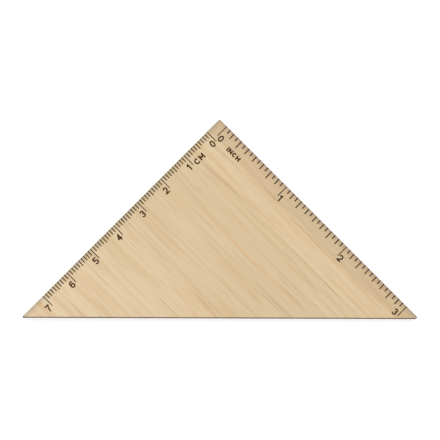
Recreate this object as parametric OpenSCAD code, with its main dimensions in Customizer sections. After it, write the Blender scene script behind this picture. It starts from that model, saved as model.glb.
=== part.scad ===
// Flat 45 degree set square, cut and engraved by laser from a board of glued bamboo strips.
// A centimetre scale runs down one short side and an inch scale down the other.
// The long side lies along X, the right angle points to +Y, and the scale face is up (+Z).
// The origin is under the middle of the outline's box, on the face that it rests on.

/* [Board] */
// Height of the triangle, from the long side to the right-angled corner
board_h = 59.6; // [50:0.1:90]
// Thickness of the board
board_t = 3; // [2:0.1:6]
// Radius of the right-angled corner, seen from above
corner_r = 0.5; // [0.4:0.1:3]
// Radius of the two sharp corners, seen from above
tip_r = 0.25; // [0.25:0.05:0.6]
// Radius that sanding leaves on the long edges of both faces
arris_r = 0.2; // [0.1:0.01:0.24]

/* [Strips] */
// Width of the strip that carries the inch scale, cut down when the board was trimmed
first_strip_w = 4.9; // [3:0.05:7]
// Distance from one glue line to the next
strip_pitch = 7.35; // [5:0.05:12]
// Thickness of the glue between two strips
glue_t = 0.1; // [0.05:0.01:0.2]
// Narrowest last strip, below which the strip before it takes its place
least_strip_w = 2; // [1:0.1:4]

/* [Engraving] */
// Depth of the grooves that the laser burns
groove_depth = 0.15; // [0.1:0.01:0.3]
// Thickness of the burnt layer on the floor of a groove
char_t = 0.1; // [0.05:0.01:0.15]
// Width of the line at a whole centimetre or a whole inch
whole_line_w = 0.28; // [0.2:0.01:0.5]
// Gap kept between the last line of a scale and the long side
end_room = 0.6; // [0.3:0.1:5]

/* [Centimetre scale] */
// Distance of the zero line from the right-angled corner
cm_zero = 5.55; // [3:0.05:12]
// Width of the lines between two whole centimetres
cm_line_w = 0.32; // [0.2:0.01:0.5]
// Length of a millimetre line
mm_line = 1.8; // [1:0.05:3]
// Length of a five-millimetre line
five_line = 2.15; // [1:0.05:4]
// Length of a centimetre line
cm_line = 3.95; // [2:0.05:6]

/* [Inch scale] */
// Distance of the zero line from the right-angled corner
inch_zero = 3.05; // [2:0.05:12]
// Width of the lines between two whole inches
inch_line_w = 0.36; // [0.2:0.01:0.5]
// Length of a line at an odd sixteenth
sixteenth_line = 1.55; // [1:0.05:3]
// Length of a line at an eighth, and at the half inch
eighth_line = 2.2; // [1:0.05:4]
// Length of a line at one and three quarters of an inch
quarter_line = 2.8; // [1:0.05:4]
// Length of a line at a whole inch
inch_line = 4.05; // [2:0.05:6]

/* [Numerals] */
// Height of a numeral
digit_h = 2.2; // [1.5:0.05:3]
// Width of a numeral
digit_w = 1.5; // [1.1:0.05:2]
// Width of the stroke that draws the numerals and captions
stroke_w = 0.43; // [0.2:0.01:0.5]
// Distance of a centimetre numeral's middle from the edge
cm_digit_depth = 3.7; // [3:0.05:6]
// Distance of an inch numeral's middle from the edge
inch_digit_depth = 4; // [3:0.05:6]
// Distance of a numeral's middle from its line
digit_gap = 1.35; // [0.8:0.05:2]
// The same at the whole inches past zero
inch_digit_gap = 1.05; // [1:0.05:2]
// Further distance from its line of a numeral that has to stand before it
turned_gap = 0.1; // [0:0.05:0.6]
// Distance by which that numeral is nearer its edge
turned_lift = 0.3; // [0:0.05:0.6]

/* [Captions] */
// Gap between two letters
letter_gap = 0.2; // [0.1:0.05:1]
// Height of the centimetre caption
cm_cap_h = 1.9; // [1.2:0.05:3]
// Width of each of its letters
cm_cap_w = 1.75; // [1.2:0.05:3]
// Distance of its middle from the zero line
cm_cap_from_zero = 7.4; // [5:0.05:20]
// Distance of its middle from the edge
cm_cap_depth = 4.1; // [3:0.05:7]
// Height of the inch caption
inch_cap_h = 1.45; // [1.2:0.05:3]
// Width of each of its wide letters
inch_cap_w = 1.35; // [1:0.05:3]
// Distance of its middle from the zero line
inch_cap_from_zero = 7.3; // [5:0.05:20]
// Distance of its middle from the edge
inch_cap_depth = 4.65; // [3:0.05:7]

/* [Hidden] */
$fn = 48;
inch = 25.4;
// The angle at each sharp corner
tip_angle = 45;
// Straight steps that draw a curved stroke
arc_steps = 10;
// How far a cut runs past what it cuts
over = 1;
leg = board_h * sqrt(2);
cut_r = corner_r * (sqrt(2) - 1);
apex_y = (board_h + cut_r) / 2;

// The floor and the top of the burnt layer, neither quite level with where the rounded edges begin
function off_arris(z) = abs(z - board_t + arris_r) < 0.005 ? z - 0.01 : z;
groove_z = off_arris(board_t - groove_depth);
char_top = off_arris(groove_z + char_t);

// Strips and glue lines, counted from the inch edge
strips = 1 + ceil((leg - first_strip_w - least_strip_w) / strip_pitch);
function joint_at(i) = first_strip_w + (i - 1) * strip_pitch;
function strip_from(i) = i == 1 ? -over : joint_at(i - 1) + glue_t / 2;
function strip_to(i) = i == strips ? leg + over : joint_at(i) - glue_t / 2;
function numbered(name, i) = str(name, i < 10 ? "0" : "", i);

// Middles of the captions, and how far the centimetre caption may reach to either side of its own
cm_caption_at = cm_zero + cm_cap_from_zero;
inch_caption_at = inch_zero + inch_cap_from_zero;
cm_cap_reach = cm_cap_w + letter_gap;
// How far into the board the inch scale's marks reach
inch_marks_depth = max(inch_line, inch_digit_depth + digit_h / 2, inch_cap_depth + inch_cap_h / 2);

// Divisions that fit on each scale
cm_count = floor((leg - cm_zero - cm_line - end_room) / 10);
inch_count = floor((leg - inch_zero - inch_line - end_room) / inch);
function cm_at(mm) = cm_zero + mm;
function inch_at(sixteenth) = inch_zero + sixteenth * inch / 16;

MARKS = [
    "cm_millimetre_lines", "cm_five_millimetre_lines", "cm_centimetre_lines",
    "cm_numerals", "cm_caption",
    "inch_sixteenth_lines", "inch_eighth_lines", "inch_quarter_lines",
    "inch_whole_lines", "inch_numerals", "inch_caption"
];

// ---- Places on the board ----

// Puts the right-angled corner at the origin, the inch edge along +X and the centimetre edge along -Y
module on_board() {
    translate([0, apex_y]) rotate(-tip_angle) children();
}

// A place on the inch edge: its distance from the corner, and its depth into the board
module from_inch_edge(at, depth) {
    translate([at, -depth]) children();
}

// A place on the centimetre edge, turned so that its numbers read towards the corner
module from_cm_edge(at, depth) {
    translate([depth, -at]) rotate(90) children();
}

// ---- The board, before it is divided into strips ----

// A wide slab that ends at y = 0 in one of the board's sides, with the long edges of that side rounded
module rounded_side(length, width) {
    translate([-length / 2, 0]) rotate([90, 0, 90]) linear_extrude(length) {
        translate([-width, 0]) square([width - arris_r, board_t]);
        translate([-arris_r - over, arris_r]) square([arris_r + over, board_t - 2 * arris_r]);
        for (z = [arris_r, board_t - arris_r]) translate([-arris_r, z]) circle(arris_r);
    }
}

// The rounded post that stands in a corner, with its rims rounded like the long edges
module corner_post(r) {
    rotate_extrude() {
        square([r - arris_r, board_t]);
        translate([0, arris_r]) square([r, board_t - 2 * arris_r]);
        for (z = [arris_r, board_t - arris_r]) translate([r - arris_r, z]) intersection() {
            circle(arris_r);
            translate([0, -arris_r]) square(2 * arris_r);
        }
    }
}

// What is cut off a corner of the given angle that points along +X from the origin
module corner_cut(angle, r) {
    reach = r / sin(angle / 2);
    side = r / tan(angle / 2);
    touch = [side * cos(angle / 2), side * sin(angle / 2)];
    difference() {
        translate([0, 0, -over]) linear_extrude(board_t + 2 * over)
            polygon([[-reach, 0], -touch, [over, -touch.y], [over, touch.y], [-touch.x, touch.y]]);
        translate([-reach, 0]) corner_post(r);
    }
}

// The whole triangle, with no grooves
module blank() {
    base_y = apex_y - board_h;
    size = 3 * board_h;
    difference() {
        intersection() {
            translate([0, base_y]) rotate(180) rounded_side(size, size);
            translate([0, apex_y]) rotate(-tip_angle) rounded_side(size, size);
            translate([0, apex_y]) rotate(tip_angle) rounded_side(size, size);
        }
        translate([0, apex_y]) rotate(90) corner_cut(90, corner_r);
        for (turn = [0, 1]) mirror([turn, 0])
            translate([board_h, base_y]) rotate(-tip_angle / 2) corner_cut(tip_angle, tip_r);
    }
}

// The stretch of the board between two distances from the inch edge
module band(from, to) {
    on_board() translate([-over, -to, -over]) cube([leg + 2 * over, to - from, board_t + 2 * over]);
}

// ---- Strokes, numerals and letters ----

function arc(centre, radii, from, to, steps = arc_steps) =
    [for (i = [0:steps]) let (a = from + (to - from) * i / steps)
        centre + [radii.x * cos(a), radii.y * sin(a)]];
function heading(path, i) =
    let (step = path[min(i + 1, len(path) - 1)] - path[max(i - 1, 0)]) step / norm(step);
function beside(path, i, reach) = path[i] + reach * [-heading(path, i).y, heading(path, i).x];

// A stroke along a curve, with ends cut square
module curve(path) {
    last = len(path) - 1;
    polygon(concat(
        [for (i = [0:last]) beside(path, i, stroke_w / 2)],
        [for (i = [last:-1:0]) beside(path, i, -stroke_w / 2)]
    ));
}

// A straight stroke that runs past both of its ends by half its own width, or by none of it
module bar(a, b, past = 1) {
    along = (b - a) / norm(b - a) * stroke_w / 2;
    curve([a - past * along, b + past * along]);
}

// A closed oval stroke
module ring(centre, radii) {
    half = [stroke_w, stroke_w] / 2;
    turn = 360 * (1 - 1 / (3 * arc_steps));
    difference() {
        polygon(arc(centre, radii + half, 0, turn, 3 * arc_steps - 1));
        polygon(arc(centre, radii - half, 0, turn, 3 * arc_steps - 1));
    }
}

// A six: a ring with a stroke that climbs its left side and hooks over the top
module six(x, y) {
    bowl = 0.6 * y;
    hook = 0.62 * y;
    ring([0, bowl - y], [x, bowl]);
    curve(concat([[-x, bowl - y]], arc([0, y - hook], [x, hook], 180, 25)));
}

// One numeral or capital, centred on the origin; x and y are where its strokes' middles lie
module glyph(c, w, h) {
    x = (w - stroke_w) / 2;
    y = (h - stroke_w) / 2;
    if (c == "0") ring([0, 0], [x, y]);
    if (c == "1") {
        bar([0.25 * x, y], [0.25 * x, -y]);
        bar([-0.8 * x, 0.45 * y], [0.2 * x, 0.95 * y], 0);
    }
    if (c == "2") {
        curve(concat(arc([0, y - x], [x, x], 170, -38), [[-x, -y]]));
        bar([-x, -y], [x, -y]);
    }
    if (c == "3") {
        top = 0.47 * y;
        curve(arc([0, y - top], [0.92 * x, top], 165, -95));
        curve(arc([0, -top], [x, y - top], 95, -165));
    }
    if (c == "4") {
        bar([0.45 * x, y], [0.45 * x, -y]);
        bar([-x, -0.42 * y], [x, -0.42 * y]);
        bar([-x, -0.42 * y], [0.45 * x, y], 0);
    }
    if (c == "5") {
        bowl = 0.6 * y;
        bar([-0.7 * x, y], [0.85 * x, y]);
        bar([-0.7 * x, y], [-0.82 * x, -0.02 * y], 0);
        curve(arc([0, bowl - y], [x, bowl], 140, -160));
    }
    if (c == "6") six(x, y);
    if (c == "7") {
        bar([-x, y], [x, y]);
        curve([[x, y], [0, 0], [-0.35 * x, -y - stroke_w / 2]]);
    }
    if (c == "8") {
        top = 0.46 * y;
        ring([0, y - top], [0.9 * x, top]);
        ring([0, -top], [x, y - top]);
    }
    if (c == "9") rotate(180) six(x, y);
    if (c == "C") curve(arc([0, 0], [x, y], 40, 320, 2 * arc_steps));
    if (c == "H" || c == "M" || c == "N") for (side = [-x, x]) bar([side, -y], [side, y]);
    if (c == "H") bar([-x, 0], [x, 0], 0);
    if (c == "I") bar([0, -y], [0, y]);
    if (c == "M") for (side = [-x, x]) bar([side, y], [0, -0.5 * y], 0);
    if (c == "N") bar([-x, y], [x, -y], 0);
}

// A whole number of one or two figures
function figures(n) = n < 10 ? [str(n)] : [str(floor(n / 10)), str(n % 10)];
function number_w(n) = digit_w * (n < 10 ? 1 : 2);
module number(n) {
    for (i = [0:len(figures(n)) - 1])
        translate([i * digit_w - (number_w(n) - digit_w) / 2, 0]) glyph(figures(n)[i], digit_w, digit_h);
}

// Capitals side by side, where an I takes only its own stroke
module caption(letters, w, h) {
    widths = [for (c = letters) c == "I" ? stroke_w : w];
    starts = [for (i = 0, at = 0; i < len(letters); at = at + widths[i] + letter_gap, i = i + 1) at];
    total = starts[len(letters) - 1] + widths[len(letters) - 1];
    for (i = [0:len(letters) - 1])
        translate([starts[i] + (widths[i] - total) / 2, 0]) glyph(letters[i], widths[i], h);
}

// ---- The marks, drawn flat ----

function cm_kind(mm) =
    mm % 10 == 0 ? "cm_centimetre_lines" :
    mm % 5 == 0 ? "cm_five_millimetre_lines" : "cm_millimetre_lines";
function inch_kind(sixteenth) =
    sixteenth % 16 == 0 ? "inch_whole_lines" :
    sixteenth % 8 == 4 ? "inch_quarter_lines" :
    sixteenth % 2 == 0 ? "inch_eighth_lines" : "inch_sixteenth_lines";
function line_length(kind) =
    kind == "cm_millimetre_lines" ? mm_line :
    kind == "cm_five_millimetre_lines" ? five_line :
    kind == "cm_centimetre_lines" ? cm_line :
    kind == "inch_sixteenth_lines" ? sixteenth_line :
    kind == "inch_eighth_lines" ? eighth_line :
    kind == "inch_quarter_lines" ? quarter_line : inch_line;
function line_width(kind) =
    kind == "cm_centimetre_lines" || kind == "inch_whole_lines" ? whole_line_w :
    kind == "cm_millimetre_lines" || kind == "cm_five_millimetre_lines" ? cm_line_w : inch_line_w;

// A number stands past its line, or before it and nearer the edge where the corner leaves no room
function has_room(n, at, depth) =
    at + digit_gap + number_w(n) / 2 + depth + digit_h / 2 + end_room < leg;
function number_at(n, at, depth, gap = digit_gap) =
    at + (has_room(n, at, depth) ? gap : -digit_gap - turned_gap);
function number_depth(n, at, depth) = depth - (has_room(n, at, depth) ? 0 : turned_lift);

// A line from the edge into the board
module tick(kind) {
    width = line_width(kind);
    translate([-width / 2, -line_length(kind)]) square([width, line_length(kind) + over]);
}

// The marks of one kind that reach into the stretch between two distances from the inch edge
module marks(kind, from = 0, to = leg) {
    for (mm = [0:10 * cm_count])
        if (cm_kind(mm) == kind && cm_at(mm) > from - line_width(kind) && cm_at(mm) < to + line_width(kind))
            from_cm_edge(cm_at(mm), 0) tick(kind);
    if (kind == "cm_numerals") for (n = [0:cm_count]) {
        line = cm_at(10 * n);
        at = number_at(n, line, cm_digit_depth);
        if (at > from - number_w(n) && at < to + number_w(n))
            from_cm_edge(at, number_depth(n, line, cm_digit_depth)) number(n);
    }
    if (kind == "cm_caption" && from < cm_caption_at + cm_cap_reach && to > cm_caption_at - cm_cap_reach)
        from_cm_edge(cm_caption_at, cm_cap_depth) caption("CM", cm_cap_w, cm_cap_h);
    if (from < inch_marks_depth) {
        for (s = [0:16 * inch_count])
            if (inch_kind(s) == kind) from_inch_edge(inch_at(s), 0) tick(kind);
        if (kind == "inch_numerals") for (n = [0:inch_count]) {
            line = inch_at(16 * n);
            at = number_at(n, line, inch_digit_depth, n == 0 ? digit_gap : inch_digit_gap);
            from_inch_edge(at, number_depth(n, line, inch_digit_depth)) number(n);
        }
        if (kind == "inch_caption")
            from_inch_edge(inch_caption_at, inch_cap_depth) caption("INCH", inch_cap_w, inch_cap_h);
    }
}

// ---- The sub-parts ----

// One strip of bamboo, with the grooves that cross it
module bamboo_strip(i) {
    color(i % 2 == 0 ? "burlywood" : "tan") grooved(strip_from(i), strip_to(i));
}

// The glue between one strip and the next, grooved where a mark crosses it
module glue_line(i) {
    color("peru") grooved(strip_to(i), strip_from(i + 1));
}

module grooved(from, to) {
    difference() {
        intersection() {
            blank();
            band(from, to);
        }
        translate([0, 0, groove_z]) linear_extrude(board_t - groove_z + over) on_board()
            for (kind = MARKS) marks(kind, from, to);
    }
}

// The burnt layer on the floors of one kind of mark's grooves
module burnt_marks(kind) {
    color("saddlebrown") intersection() {
        blank();
        translate([0, 0, groove_z]) linear_extrude(char_top - groove_z) on_board() marks(kind);
    }
}

for (i = [1:strips])
    bamboo_strip(i);
for (i = [1:strips - 1])
    glue_line(i);
for (kind = MARKS)
    burnt_marks(kind);
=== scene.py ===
# %% [markdown]
# # A bamboo set square, cut and engraved by laser
#
# The real ruler is a thin triangle cut from a board of bamboo strips that were glued side by side. A laser
# cut its outline and burnt two scales into its face. The solid model already holds every strip, glue line
# and engraved mark at its true size, so this lesson gives each of them the finish of the real material.
# It then sets out a plain white table, soft light and a camera.

# %% Load the solid model
import math

import bpy
import numpy as np
from mathutils import Matrix, Vector


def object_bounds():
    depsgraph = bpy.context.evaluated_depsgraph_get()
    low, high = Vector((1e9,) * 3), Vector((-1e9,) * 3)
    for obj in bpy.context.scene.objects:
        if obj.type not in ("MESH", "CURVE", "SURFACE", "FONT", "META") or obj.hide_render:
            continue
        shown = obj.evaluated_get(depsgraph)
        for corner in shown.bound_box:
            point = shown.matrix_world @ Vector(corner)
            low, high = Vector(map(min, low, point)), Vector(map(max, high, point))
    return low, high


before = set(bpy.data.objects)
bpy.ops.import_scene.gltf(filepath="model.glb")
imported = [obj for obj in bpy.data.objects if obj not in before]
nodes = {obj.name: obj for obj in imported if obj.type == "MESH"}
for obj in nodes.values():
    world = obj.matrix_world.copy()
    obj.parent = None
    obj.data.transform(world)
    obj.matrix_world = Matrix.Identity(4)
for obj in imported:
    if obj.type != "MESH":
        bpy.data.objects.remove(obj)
cad_low, cad_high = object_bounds()
print("nodes:", len(nodes), "size in mm:", [round(side * 1000, 2) for side in cad_high - cad_low])

# %% [markdown]
# ## Finding the board's own directions
#
# The triangle stands with its long side along X, but the bamboo runs along the inch edge, at 45 degrees to
# that. The pattern of the wood and the places of the strips are simplest in the board's own directions:
# one number along the inch edge, counted from the right-angled corner, and one number into the board.
# Both could be typed in, but measuring them on the model keeps them right if the model changes.

# %% Measure the strips
MM = 0.001
GRAIN_TURN = math.radians(45)


def corners(node):
    """All of a node's vertices, as rows of x, y and z in metres."""
    flat = np.zeros(len(node.data.vertices) * 3, np.float32)
    node.data.vertices.foreach_get("co", flat)
    return flat.reshape(-1, 3)


strip_names = sorted(name for name in nodes if name.startswith("bamboo_strip_"))
glue_names = sorted(name for name in nodes if name.startswith("glue_line_"))
mark_names = sorted(set(nodes) - set(strip_names) - set(glue_names))

# A point's distance from the inch edge falls as x + y grows, and x + y is greatest on that edge.
corner_y = max(float(corners(nodes[name])[:, :2].sum(1).max()) for name in strip_names)


def depth_range(name):
    """Least and greatest distance of a node from the inch edge, (corner_y - x - y) / root two, in mm."""
    depth = (corner_y - corners(nodes[name])[:, :2].sum(1)) / math.sqrt(2) / MM
    return float(depth.min()), float(depth.max())


strip_depths = {name: depth_range(name) for name in strip_names}
corner_offset = corner_y / math.sqrt(2) / MM
print("strips:", len(strip_names), "glue lines:", len(glue_names), "kinds of mark:", len(mark_names))
print("strip widths in mm:", [round(far - near, 2) for near, far in strip_depths.values()])

# %% [markdown]
# ## Colours and nodes
#
# Colours are written as the hex values that a screen shows, and one function turns them into the linear
# numbers that a shader needs. A second small function adds a node with its settings and its links, which
# keeps each material short enough to read as a recipe.


# %% Helpers for materials
def shade(hex_colour):
    """Linear red, green, blue and alpha from an sRGB hex colour."""
    parts = [int(hex_colour[i:i + 2], 16) / 255 for i in (0, 2, 4)]
    return [p / 12.92 if p <= 0.04045 else ((p + 0.055) / 1.055) ** 2.4 for p in parts] + [1.0]


def add(tree, kind, inputs=(), **settings):
    """Add one node. Inputs pairs a socket's name or number with a value, an output or a node.

    A node stands for its first output.
    """
    made = tree.nodes.new("ShaderNode" + kind)
    for name, value in settings.items():
        setattr(made, name, value)
    for socket, value in dict(inputs).items():
        value = value.outputs[0] if isinstance(value, bpy.types.Node) else value
        if isinstance(value, bpy.types.NodeSocket):
            tree.links.new(value, made.inputs[socket])
        else:
            made.inputs[socket].default_value = value
    return made


def new_finish(name):
    """An empty material of that name, with its node tree and its surface shader."""
    finish = bpy.data.materials.new(name)
    finish.use_nodes = True
    tree = finish.node_tree
    tree.nodes.clear()
    surface = add(tree, "BsdfPrincipled")
    add(tree, "OutputMaterial", {"Surface": surface})
    return finish, tree, surface


def board_places(tree):
    """Millimetres in the board's own directions: x along the grain, -y into the board, z up."""
    return add(tree, "Mapping", {
        "Vector": add(tree, "TexCoord").outputs["Object"],
        "Location": (corner_offset, -corner_offset, 0),
        "Rotation": (0, 0, GRAIN_TURN),
        "Scale": (1 / MM, 1 / MM, 1 / MM)})


def grains(tree, board, size, seed, detail=2.0):
    """Noise in the board's directions whose grains have the given size in mm along x, y and z."""
    scaled = add(tree, "Mapping", {"Vector": board, "Scale": [1 / side for side in size],
                                   "Location": (7.31 * seed, 3.17 * seed, 1.73 * seed)})
    return add(tree, "TexNoise", {"Vector": scaled, "Scale": 1.0, "Detail": detail})


print("white is", [round(part, 3) for part in shade("ffffff")])
print("mid grey is", round(shade("808080")[0], 3))

# %% [markdown]
# ## What the laser leaves on a cut edge, and painted shade beside two edges
#
# A laser cuts by burning, so the outline's vertical faces and the walls of the grooves are scorched brown,
# with fine upright lines where the beam pulsed along its path. The burn is a skin, not a separate
# piece, so it is painted on by the direction in which the surface faces: upright faces are burnt, and the
# burn fades out round the sanded edge. A painted mask would do the same, but it would have to be drawn
# again for every strip. Painted shade lies on the face beside the two short sides: a grey band, darkest at
# the edge itself, that fades out within two millimetres.

# %% Scorched edges and painted edge shade
SCORCH_DARK, SCORCH_PALE = "3A2513", "7E5C3C"
UPRIGHT_NONE, UPRIGHT_FULL = 0.9, 0.55
PULSE_LINES = (0.3, 0.3, 12)
BURN_PATCHES = (6, 6, 3)
BURN_LOW, BURN_HIGH = 0.75, 1.3
# Painted shade along the two scale edges: its grey, its strength at the edge, and its reach in mm
EDGE_SHADE_GREY, EDGE_SHADE_MOST = "6E6458", 0.38
EDGE_SHADE_REACH = 1.7


def scorch(tree, board, colour):
    """Brown burn on upright faces, and painted grey shade on the face beside the two scale edges."""
    facing = add(tree, "SeparateXYZ", {0: add(tree, "TexCoord").outputs["Normal"]})
    upright = add(tree, "Math", {0: facing.outputs["Z"]}, operation="ABSOLUTE")
    burnt = add(tree, "MapRange", {"Value": upright, "From Min": UPRIGHT_NONE, "From Max": UPRIGHT_FULL})
    lines = grains(tree, board, PULSE_LINES, seed=5, detail=3.0)
    patches = grains(tree, board, BURN_PATCHES, seed=6)
    uneven = add(tree, "MapRange", {"Value": add(tree, "Math", {0: lines, 1: patches}, operation="ADD"),
                                    "From Min": BURN_LOW, "From Max": BURN_HIGH})
    burn = add(tree, "MixRGB", {"Fac": uneven, "Color1": shade(SCORCH_DARK), "Color2": shade(SCORCH_PALE)})

    # Painted shade: grey on the face beside the two scale edges, strongest at the edge and fading inward
    spot = add(tree, "SeparateXYZ", {0: board}).outputs
    into_board = add(tree, "Math", {0: spot["Y"], 1: -1.0}, operation="MULTIPLY")
    nearest = add(tree, "Math", {0: into_board, 1: spot["X"]}, operation="MINIMUM")
    edge_shade = add(tree, "MapRange", {"Value": nearest, "From Min": EDGE_SHADE_REACH, "From Max": 0.0,
                                   "To Min": 0.0, "To Max": EDGE_SHADE_MOST})
    edge_shaded = add(tree, "MixRGB", {"Fac": edge_shade, "Color1": colour, "Color2": shade(EDGE_SHADE_GREY)})
    return burnt, add(tree, "MixRGB", {"Fac": burnt, "Color1": edge_shaded, "Color2": burn})


print("scorch colours:", SCORCH_DARK, SCORCH_PALE)

# %% [markdown]
# ## Bamboo strips
#
# Each strip is a slice of the culm's wall, set on its side. Its dense outer skin, full of fine dark fibre
# bundles, ends at one glue line, and its soft pale inner wall ends at the next, so every strip darkens at
# once past a joint and then fades across its width. Long fibres run along the strip, and sugar that
# caramelised when the bamboo was steamed leaves golden streaks.
#
# Four tones are enough: the first strip is honey and the second wheat, and the rest pale from straw
# through wheat to cream across the board. A picture of wood could be wrapped on, but it would repeat and
# would not pass through the cut edges. Noise that is stretched along the grain is solid, so the same fibres
# show as lines on the face and as dots on the end grain. Each noise has the size of what it stands for, in
# millimetres along the grain, into the board and through it. Only the fibres are drawn coarser, because
# real ones are a tenth of a millimetre wide and too fine to show. The surface is sanded and sealed, so it
# is half matt, with the IOR of a clear finish, and a burnt face is rougher.

# %% Bamboo
HONEY, STRAW, WHEAT, CREAM = "D8BE98", "E0C8A0", "E4CCA4", "E8D0AA"
STRIP_TONES = [HONEY, WHEAT] + [STRAW] * 4 + [WHEAT] * 2 + [CREAM] * 4
BUNDLE_BROWN, BUNDLE_MOST = "96673A", 0.34
SUGAR_GOLD, SUGAR_MOST = "D69C50", 0.32
SKIN_TINT = (0.955, 0.94, 0.91, 1.0)
MOTTLE_TINTS = (0.972, 0.953, 0.925, 1.0), (1.024, 1.037, 1.065, 1.0)
FIBRE_TINTS = (0.955, 0.95, 0.935, 1.0), (1.035, 1.035, 1.04, 1.0)
FIBRE = (11, 0.24, 0.24)
BUNDLE = (17, 0.4, 0.4)
SUGAR = (26, 1.5, 1.5)
WANDER = (90, 1.1, 1.1)
MOTTLE = (34, 4.5, 4.5)
WHITE = (1.0, 1.0, 1.0, 1.0)
NOISE_LOW, NOISE_HIGH = 0.3, 0.7
WANDER_MOST = 0.3
SKIN_END, WALL_START = -0.1, 0.5
SUGAR_FROM, SUGAR_FULL = 0.5, 0.72
BUNDLE_FROM, BUNDLE_FULL = 0.58, 0.72
BUNDLE_THINNING = 0.08
SANDED_ROUGH, BURNT_ROUGH = 0.48, 0.85
FINISH_IOR = 1.5
RELIEF = 0.03 * MM


def bamboo(number, name):
    """The finish of one strip, with its own tone and its own fibres."""
    finish, tree, surface = new_finish("bamboo_%02d" % (number + 1))
    board = board_places(tree)
    near, far = strip_depths[name]
    across = add(tree, "MapRange", {"Value": add(tree, "SeparateXYZ", {0: board}).outputs["Y"],
                                    "From Min": -near, "From Max": -far})

    # From the dense outer skin to the soft inner wall, with a boundary that wanders along the strip
    wander = add(tree, "MapRange", {"Value": grains(tree, board, WANDER, seed=10 + number, detail=3.0),
                                    "From Min": NOISE_LOW, "From Max": NOISE_HIGH,
                                    "To Min": -WANDER_MOST, "To Max": WANDER_MOST})
    wall = add(tree, "MapRange", {"Value": add(tree, "Math", {0: across, 1: wander}, operation="ADD"),
                                  "From Min": SKIN_END, "From Max": WALL_START})
    tint = add(tree, "MixRGB", {"Fac": wall, "Color1": SKIN_TINT, "Color2": WHITE})
    colour = add(tree, "MixRGB", {"Fac": 1.0, "Color1": shade(STRIP_TONES[number % len(STRIP_TONES)]),
                                  "Color2": tint}, blend_type="MULTIPLY")

    # Soft light and dark that runs on from strip to strip, and the golden stain of caramelised sugar
    mottle = add(tree, "MapRange", {"Value": grains(tree, board, MOTTLE, seed=3),
                                    "From Min": NOISE_LOW, "From Max": NOISE_HIGH})
    tint = add(tree, "MixRGB", {"Fac": mottle, "Color1": MOTTLE_TINTS[0], "Color2": MOTTLE_TINTS[1]})
    colour = add(tree, "MixRGB", {"Fac": 1.0, "Color1": colour, "Color2": tint}, blend_type="MULTIPLY")
    sugar = add(tree, "MapRange", {"Value": grains(tree, board, SUGAR, seed=20 + number, detail=3.0),
                                   "From Min": SUGAR_FROM, "From Max": SUGAR_FULL, "To Max": SUGAR_MOST})
    colour = add(tree, "MixRGB", {"Fac": sugar, "Color1": colour, "Color2": shade(SUGAR_GOLD)})

    # Fine fibres, and the fibre bundles that thin out towards the inner wall
    fibres = grains(tree, board, FIBRE, seed=30 + number)
    fine = add(tree, "MapRange", {"Value": fibres, "From Min": NOISE_LOW, "From Max": NOISE_HIGH})
    tint = add(tree, "MixRGB", {"Fac": fine, "Color1": FIBRE_TINTS[0], "Color2": FIBRE_TINTS[1]})
    colour = add(tree, "MixRGB", {"Fac": 1.0, "Color1": colour, "Color2": tint}, blend_type="MULTIPLY")
    thinning = add(tree, "MapRange", {"Value": across, "To Max": BUNDLE_THINNING})
    sparse = add(tree, "Math", {0: grains(tree, board, BUNDLE, seed=50 + number, detail=1.0), 1: thinning},
                 operation="SUBTRACT")
    bundles = add(tree, "MapRange", {"Value": sparse, "From Min": BUNDLE_FROM, "From Max": BUNDLE_FULL,
                                     "To Max": BUNDLE_MOST})
    colour = add(tree, "MixRGB", {"Fac": bundles, "Color1": colour, "Color2": shade(BUNDLE_BROWN)})

    # Scorch on upright faces and painted shade beside the scale edges; burnt wood is rougher than the
    # sanded face, and the fibres stand a little proud
    burnt, colour = scorch(tree, board, colour)
    tree.links.new(colour.outputs[0], surface.inputs["Base Color"])
    rough = add(tree, "MapRange", {"Value": add(tree, "Math", {0: burnt, 1: fibres}, operation="ADD"),
                                   "From Min": NOISE_LOW, "From Max": 1.3,
                                   "To Min": SANDED_ROUGH, "To Max": BURNT_ROUGH})
    tree.links.new(rough.outputs[0], surface.inputs["Roughness"])
    relief = add(tree, "Bump", {"Height": fibres, "Strength": 0.35, "Distance": RELIEF})
    tree.links.new(relief.outputs[0], surface.inputs["Normal"])
    surface.inputs["IOR"].default_value = FINISH_IOR
    return finish


for number, name in enumerate(strip_names):
    nodes[name].material_slots[0].material = bamboo(number, name)
print("strips finished:", len(strip_names))

# %% [markdown]
# ## Glue lines
#
# The strips are joined with a cured resin that dries to a clear amber. It shows as a hair-thin line that
# is a little darker and smoother than the bamboo beside it. A plain colour would look printed, so the
# amber is uneven along the joint, as the glue was squeezed out unevenly in the press. The resin cures
# glossier than the sanded wood, which its lower roughness gives.

# %% Glue
GLUE_PALE, GLUE_DARK = "DDC196", "AD885A"
SQUEEZE = (16, 2.5, 1.0)
AMBER_FROM, AMBER_FULL = 0.46, 0.72


def glue():
    """Cured amber resin."""
    finish, tree, surface = new_finish("cured_glue")
    board = board_places(tree)
    uneven = grains(tree, board, SQUEEZE, seed=80)
    amber = add(tree, "MapRange", {"Value": uneven, "From Min": AMBER_FROM, "From Max": AMBER_FULL})
    colour = add(tree, "MixRGB", {"Fac": amber, "Color1": shade(GLUE_PALE), "Color2": shade(GLUE_DARK)})
    # Scorch on upright faces and painted shade beside the scale edges
    colour = scorch(tree, board, colour)[1]
    tree.links.new(colour.outputs[0], surface.inputs["Base Color"])
    surface.inputs["Roughness"].default_value = 0.4
    surface.inputs["IOR"].default_value = FINISH_IOR
    return finish


glue_finish = glue()
for name in glue_names:
    nodes[name].material_slots[0].material = glue_finish
print("glue lines finished:", len(glue_names))

# %% [markdown]
# ## Engraved marks
#
# The laser engraves by burning, so the floor of every groove is a thin layer of char: matt, nearly black
# where the beam dwelt, and a warmer brown where it only toasted the bamboo. Char is porous and throws
# back very little light, so its reflection is turned down as well as its colour.

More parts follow.
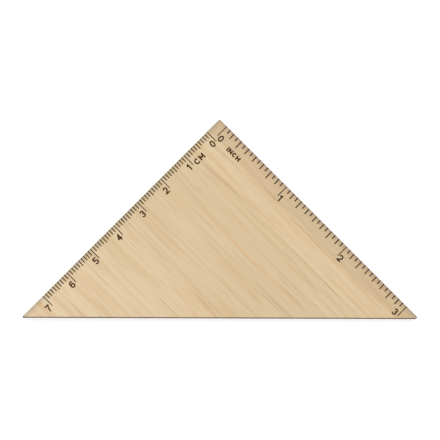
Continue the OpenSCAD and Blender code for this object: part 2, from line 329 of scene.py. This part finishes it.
# %% Char
CHAR_DARK, CHAR_PALE = "211206", "5A3A18"
DWELL = (3.5, 3.5, 3.5)
SINGED_FIBRE = (1.2, 0.3, 0.3)
PITS = (0.12, 0.12, 0.12)
TOASTED_FROM, TOASTED_FULL = 0.75, 1.25


def char():
    """Charred bamboo on the groove floors."""
    finish, tree, surface = new_finish("charred_bamboo")
    board = board_places(tree)
    uneven = add(tree, "Math", {0: grains(tree, board, DWELL, seed=90),
                                1: grains(tree, board, SINGED_FIBRE, seed=91)}, operation="ADD")
    toasted = add(tree, "MapRange", {"Value": uneven, "From Min": TOASTED_FROM, "From Max": TOASTED_FULL})
    colour = add(tree, "MixRGB", {"Fac": toasted, "Color1": shade(CHAR_DARK), "Color2": shade(CHAR_PALE)})
    tree.links.new(colour.outputs[0], surface.inputs["Base Color"])
    pits = grains(tree, board, PITS, seed=92)
    relief = add(tree, "Bump", {"Height": pits, "Strength": 0.5, "Distance": RELIEF})
    tree.links.new(relief.outputs[0], surface.inputs["Normal"])
    surface.inputs["Roughness"].default_value = 0.9
    surface.inputs["Specular IOR Level"].default_value = 0.15
    return finish


char_finish = char()
for name in mark_names:
    nodes[name].material_slots[0].material = char_finish
print("kinds of mark finished:", len(mark_names))

# %% [markdown]
# ## Table, light and air
#
# The ruler lies on a white table under a white sky. The sky gives most of the light, so a colour renders
# about as it is written, and one wide lamp from the upper left gives the edges and grooves their shape.
# The table and the sky are lifted to pure white for the camera and for reflections only, so the ruler
# gets no extra light from them and its soft shadow stays. The back of the ruler lies so close to the table
# that no light could reach it, and seen from below it would be black. So the table lets through what starts
# a hair's breadth from it, and the sky lights the back.

# %% Table and sky
TABLE_REACH = 6.0
TABLE_LIFT = 0.55
TABLE_GAP = 0.02 * MM
CLOSE_BY = 0.2 * MM
SKY_LEVEL = 0.72


def seen_directly(tree):
    """One for the rays that show the background: from the camera, off gloss and through glass."""
    path = add(tree, "LightPath").outputs
    either = add(tree, "Math", {0: path["Is Camera Ray"], 1: path["Is Glossy Ray"]}, operation="MAXIMUM")
    return add(tree, "Math", {0: either, 1: path["Is Transmission Ray"]}, operation="MAXIMUM")


def table():
    """A wide white square just under the ruler; from below it isn't seen, so that the back can be."""
    reach, level = TABLE_REACH, cad_low.z - TABLE_GAP
    plane = bpy.data.meshes.new("table")
    plane.from_pydata([(-reach, -reach, level), (reach, -reach, level), (reach, reach, level),
                       (-reach, reach, level)], [], [(0, 1, 2, 3)])
    finish = bpy.data.materials.new("white_table")
    finish.use_nodes = True
    tree = finish.node_tree
    tree.nodes.clear()
    paper = add(tree, "BsdfDiffuse", {"Color": shade("E8E8E8")})
    lift = add(tree, "Emission", {"Color": shade("FFFFFF"), "Strength": add(tree, "Math", {
        0: seen_directly(tree), 1: TABLE_LIFT}, operation="MULTIPLY")})
    lifted = add(tree, "AddShader", {0: paper, 1: lift})
    close = add(tree, "Math", {0: add(tree, "LightPath").outputs["Ray Length"], 1: CLOSE_BY},
                operation="LESS_THAN")
    open_way = add(tree, "Math", {0: add(tree, "NewGeometry").outputs["Backfacing"], 1: close},
                   operation="MAXIMUM")
    seen = add(tree, "MixShader", {0: open_way, 1: lifted, 2: add(tree, "BsdfTransparent")})
    add(tree, "OutputMaterial", {"Surface": seen})
    plane.materials.append(finish)
    made = bpy.data.objects.new("table", plane)
    bpy.context.scene.collection.objects.link(made)
    return made


def sky():
    """An even white sky, at full white where it is looked at."""
    world = bpy.data.worlds.new("white_sky")
    bpy.context.scene.world = world
    world.use_nodes = True
    tree = world.node_tree
    tree.nodes.clear()
    level = add(tree, "MapRange", {"Value": seen_directly(tree), "To Min": SKY_LEVEL, "To Max": 1.0})
    glow = add(tree, "Background", {"Color": shade("FFFFFF"), "Strength": level})
    add(tree, "OutputWorld", {"Surface": glow})


table()
sky()
print("table and sky are in place")

# %% [markdown]
# ## Lamp
#
# One wide lamp stands to the upper left of the ruler and about a metre away. It is half a metre across, so
# the shadows it throws are soft, and weak enough that the sky still gives most of the light. It is placed
# first and then turned to face the middle of the ruler.

# %% Lamp
LAMP_PLACE = Vector((-0.35, 0.45, 0.9))
LAMP_SIDE = 0.5
LAMP_WATTS = 3.2

lamp_data = bpy.data.lights.new("wide_lamp", "AREA")
lamp_data.size = LAMP_SIDE
lamp_data.energy = LAMP_WATTS
lamp = bpy.data.objects.new("wide_lamp", lamp_data)
lamp.location = LAMP_PLACE
lamp.rotation_mode = "QUATERNION"
lamp.rotation_quaternion = (-LAMP_PLACE).to_track_quat("-Z", "Y")
bpy.context.scene.collection.objects.link(lamp)
print("lamp distance in m:", round(LAMP_PLACE.length, 2))

# %% [markdown]
# ## Camera
#
# The ruler is seen almost from straight above, from far away through a long lens, a little from the front
# and a little from the left. That is why the cut face of the long side just shows as a dark line, while
# the faces of the two scale edges stay hidden. The camera starts straight above the middle of the
# triangle's height, looks down, and is then tipped by three small angles.

# %% Camera
LENS = 368.2
DISTANCE = 1342.4 * MM
TIP, SWING, ROLL = math.radians(-6.57), math.radians(8.14), math.radians(0.56)
SLIDE = Vector((0.23, 0.57)) * MM

aim = Vector((0, (corner_y + cad_low.y) / 2, cad_high.z))
turn = Matrix.Rotation(TIP, 4, "X") @ Matrix.Rotation(SWING, 4, "Y") @ Matrix.Rotation(ROLL, 4, "Z")
camera_data = bpy.data.cameras.new("camera")
camera_data.lens = LENS
camera_data.sensor_width = 36
camera_data.clip_start, camera_data.clip_end = 0.01, 20
camera = bpy.data.objects.new("camera", camera_data)
bpy.context.scene.collection.objects.link(camera)
camera.matrix_world = (Matrix.Translation(aim) @ turn.inverted()
                       @ Matrix.Translation((-SLIDE.x, -SLIDE.y, DISTANCE)))
bpy.context.scene.camera = camera
bpy.context.scene.view_settings.view_transform = "Standard"
print("camera at", [round(part, 3) for part in camera.location])
